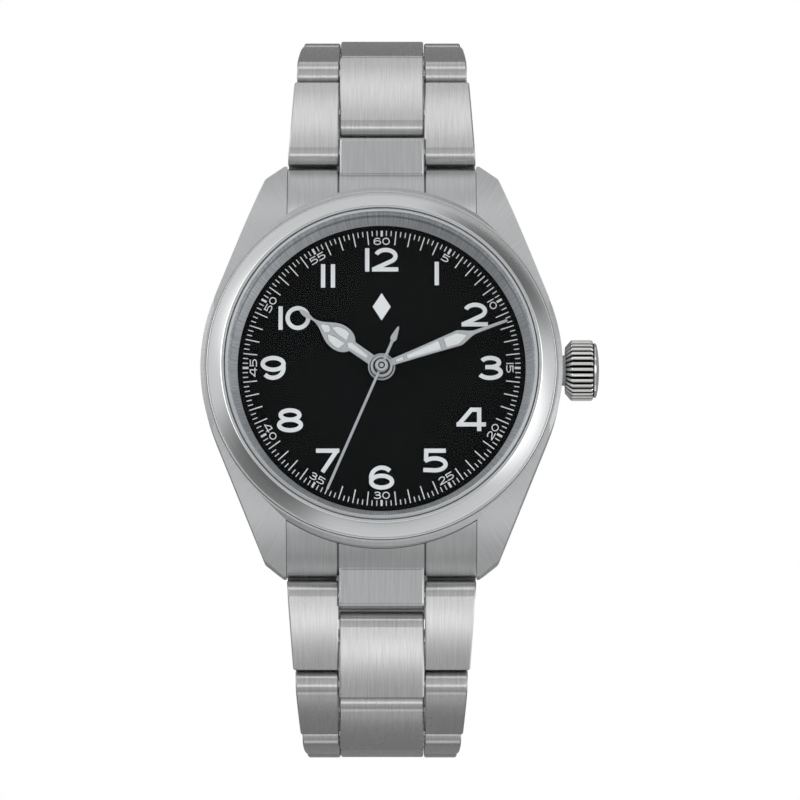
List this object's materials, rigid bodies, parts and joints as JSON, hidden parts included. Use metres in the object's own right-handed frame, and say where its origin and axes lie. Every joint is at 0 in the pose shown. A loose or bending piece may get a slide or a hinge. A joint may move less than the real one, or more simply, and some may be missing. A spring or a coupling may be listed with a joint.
{
  "type": "field watch",
  "caption": "Round steel field watch with black dial, cathedral hands, fluted crown and a jointed link bracelet closed by a fold-over clasp.",
  "frame": {"origin": "centre of the case back's outer flat face", "axes": "+Z out of the dial, +Y towards 12 o'clock, +X towards the crown"},
  "size_m": [0.0419, 0.078, 0.0647],
  "materials": {
    "case_steel": "fine satin brushed steel",
    "bezel_steel": "circular satin steel, nearly smooth",
    "bracelet_steel": "steel brushed along the bracelet",
    "end_link_steel": "steel brushed along the bracelet",
    "clasp_steel": "steel brushed along the bracelet",
    "crown_steel": "polished cap and fluted grip",
    "flange_steel": "radially brushed steel",
    "hand_steel": "satin plated hands",
    "pin_steel": "turned steel",
    "sapphire": "clear glass with ground edge",
    "gasket_rubber": "matte black rubber",
    "dial_black": "matte black paint",
    "lume": "pale luminous filling",
    "movement_steel": "plated movement parts",
    "movement_brass": "gilt balance wheel",
    "holder_plastic": "matte black plastic"
  },
  "bodies": {
    "head": {"case_middle": "case_steel", "bezel": "bezel_steel", "crystal": "sapphire", "crystal_gasket": "gasket_rubber", "rehaut_ring": "flange_steel", "dial": "dial_black", "crown_tube": "case_steel", "caseback": "case_steel", "caseback_gasket": "gasket_rubber", "movement_holder": "holder_plastic", "main_plate": "movement_steel", "train_bridge": "movement_steel", "end_link_12": "end_link_steel", "end_link_6": "end_link_steel", "spring_bars": "pin_steel"},
    "hour_hand_body": {"hour_hand": "hand_steel", "hour_lume": "lume"},
    "minute_hand_body": {"minute_hand": "hand_steel", "minute_lume": "lume"},
    "seconds_hand_body": {"seconds_hand": "hand_steel"},
    "stem_body": {"winding_stem": "pin_steel"},
    "crown_body": {"crown": "crown_steel"},
    "rotor_body": {"rotor": "movement_steel"},
    "balance_body": {"balance_wheel": "movement_brass"},
    "link_12_1_body": {"link_12_1": "bracelet_steel", "link_12_1_pins": "pin_steel"},
    "link_12_2_body": {"link_12_2": "bracelet_steel", "link_12_2_pins": "pin_steel"},
    "link_12_3_body": {"link_12_3": "bracelet_steel", "link_12_3_pins": "pin_steel"},
    "link_12_4_body": {"link_12_4": "bracelet_steel", "link_12_4_pins": "pin_steel"},
    "link_12_5_body": {"link_12_5": "bracelet_steel", "link_12_5_pins": "pin_steel"},
    "link_12_6_body": {"link_12_6": "bracelet_steel", "link_12_6_pins": "pin_steel"},
    "link_12_7_body": {"link_12_7": "bracelet_steel", "link_12_7_pins": "pin_steel"},
    "link_6_1_body": {"link_6_1": "bracelet_steel", "link_6_1_pins": "pin_steel"},
    "link_6_2_body": {"link_6_2": "bracelet_steel", "link_6_2_pins": "pin_steel"},
    "link_6_3_body": {"link_6_3": "bracelet_steel", "link_6_3_pins": "pin_steel"},
    "link_6_4_body": {"link_6_4": "bracelet_steel", "link_6_4_pins": "pin_steel"},
    "link_6_5_body": {"link_6_5": "bracelet_steel", "link_6_5_pins": "pin_steel"},
    "link_6_6_body": {"link_6_6": "bracelet_steel", "link_6_6_pins": "pin_steel"},
    "link_6_7_body": {"link_6_7": "bracelet_steel", "link_6_7_pins": "pin_steel"},
    "inner_blade_body": {"clasp_blade_inner": "clasp_steel", "clasp_pin_back": "pin_steel", "clasp_bar": "pin_steel"},
    "outer_blade_body": {"clasp_blade_outer": "clasp_steel"},
    "cover_body": {"clasp_cover": "clasp_steel", "clasp_pin_front": "pin_steel"},
    "button_right_body": {"push_button_right": "clasp_steel"},
    "button_left_body": {"push_button_left": "clasp_steel"}
  },
  "joints": [
    {"name": "minute_turn", "type": "hinge", "parent": "head", "child": "minute_hand_body", "pos_m": [0, 0, 0.0085], "axis": [0, 0, -1], "continuous": true},
    {"name": "hour_turn", "type": "hinge", "parent": "head", "child": "hour_hand_body", "pos_m": [0, 0, 0.0079], "axis": [0, 0, -1], "continuous": true},
    {"name": "seconds_turn", "type": "hinge", "parent": "head", "child": "seconds_hand_body", "pos_m": [0, 0, 0.009], "axis": [0, 0, -1], "continuous": true},
    {"name": "crown_pull", "type": "slide", "parent": "head", "child": "stem_body", "axis": [1, 0, 0], "range_m": [0, 0.0012]},
    {"name": "crown_turn", "type": "hinge", "parent": "stem_body", "child": "crown_body", "pos_m": [0.021, 0, 0.0052], "axis": [1, 0, 0], "continuous": true},
    {"name": "rotor_turn", "type": "hinge", "parent": "head", "child": "rotor_body", "pos_m": [0, 0, 0.0026], "axis": [0, 0, 1], "continuous": true},
    {"name": "balance_swing", "type": "hinge", "parent": "head", "child": "balance_body", "pos_m": [-0.0064, -0.0052, 0.0037], "axis": [0, 0, 1], "range_deg": [-120, 120]},
    {"name": "link_12_1_bend", "type": "hinge", "parent": "head", "child": "link_12_1_body", "pos_m": [0, 0.0236, 0.0036], "axis": [1, 0, 0], "range_deg": [0, 21]},
    {"name": "link_12_2_bend", "type": "hinge", "parent": "link_12_1_body", "child": "link_12_2_body", "pos_m": [0, 0.03263, 0.00066], "axis": [1, 0, 0], "range_deg": [0, 53]},
    {"name": "link_12_3_bend", "type": "hinge", "parent": "link_12_2_body", "child": "link_12_3_body", "pos_m": [0, 0.03619, -0.00814], "axis": [1, 0, 0], "range_deg": [0, 19]},
    {"name": "link_12_4_bend", "type": "hinge", "parent": "link_12_3_body", "child": "link_12_4_body", "pos_m": [0, 0.03719, -0.01759], "axis": [1, 0, 0], "range_deg": [0, 13]},
    {"name": "link_12_5_bend", "type": "hinge", "parent": "link_12_4_body", "child": "link_12_5_body", "pos_m": [0, 0.03652, -0.02707], "axis": [1, 0, 0], "range_deg": [0, 12]},
    {"name": "link_12_6_bend", "type": "hinge", "parent": "link_12_5_body", "child": "link_12_6_body", "pos_m": [0, 0.03439, -0.03633], "axis": [1, 0, 0], "range_deg": [0, 18]},
    {"name": "link_12_7_bend", "type": "hinge", "parent": "link_12_6_body", "child": "link_12_7_body", "pos_m": [0, 0.02993, -0.04471], "axis": [1, 0, 0], "range_deg": [0, 29]},
    {"name": "link_6_1_bend", "type": "hinge", "parent": "head", "child": "link_6_1_body", "pos_m": [0, -0.0236, 0.0036], "axis": [-1, 0, 0], "range_deg": [0, 21]},
    {"name": "link_6_2_bend", "type": "hinge", "parent": "link_6_1_body", "child": "link_6_2_body", "pos_m": [0, -0.03263, 0.00066], "axis": [-1, 0, 0], "range_deg": [0, 47]},
    {"name": "link_6_3_bend", "type": "hinge", "parent": "link_6_2_body", "child": "link_6_3_body", "pos_m": [0, -0.0371, -0.00772], "axis": [-1, 0, 0], "range_deg": [0, 29]},
    {"name": "link_6_4_bend", "type": "hinge", "parent": "link_6_3_body", "child": "link_6_4_body", "pos_m": [0, -0.03743, -0.01722], "axis": [-1, 0, 0], "range_deg": [0, 10]},
    {"name": "link_6_5_bend", "type": "hinge", "parent": "link_6_4_body", "child": "link_6_5_body", "pos_m": [0, -0.0366, -0.02668], "axis": [-1, 0, 0], "range_deg": [0, 12]},
    {"name": "link_6_6_bend", "type": "hinge", "parent": "link_6_5_body", "child": "link_6_6_body", "pos_m": [0, -0.0343, -0.0359], "axis": [-1, 0, 0], "range_deg": [0, 17]},
    {"name": "link_6_7_bend", "type": "hinge", "parent": "link_6_6_body", "child": "link_6_7_body", "pos_m": [0, -0.02984, -0.04429], "axis": [-1, 0, 0], "range_deg": [0, 25.76]},
    {"name": "clasp_swing", "type": "hinge", "parent": "link_12_7_body", "child": "inner_blade_body", "pos_m": [0, 0.02224, -0.0503], "axis": [1, 0, 0], "range_deg": [0, 45]},
    {"name": "blade_unfold", "type": "hinge", "parent": "inner_blade_body", "child": "outer_blade_body", "pos_m": [0, -0.01348, -0.0498], "axis": [-1, 0, 0], "range_deg": [0, 80]},
    {"name": "cover_open", "type": "hinge", "parent": "outer_blade_body", "child": "cover_body", "pos_m": [0, 0.01864, -0.0512], "axis": [1, 0, 0], "range_deg": [0, 160]},
    {"name": "button_right_push", "type": "slide", "parent": "cover_body", "child": "button_right_body", "axis": [-1, 0, 0], "range_m": [0, 0.0008], "stiffness_N_per_m": 1500},
    {"name": "button_left_push", "type": "slide", "parent": "cover_body", "child": "button_left_body", "axis": [1, 0, 0], "range_m": [0, 0.0008], "stiffness_N_per_m": 1500}
  ],
  "couplings": [
    {"joint": "hour_turn", "follows": "minute_turn", "ratio": 0.083333},
    {"joint": "blade_unfold", "follows": "cover_open", "ratio": 0.5}
  ]
}
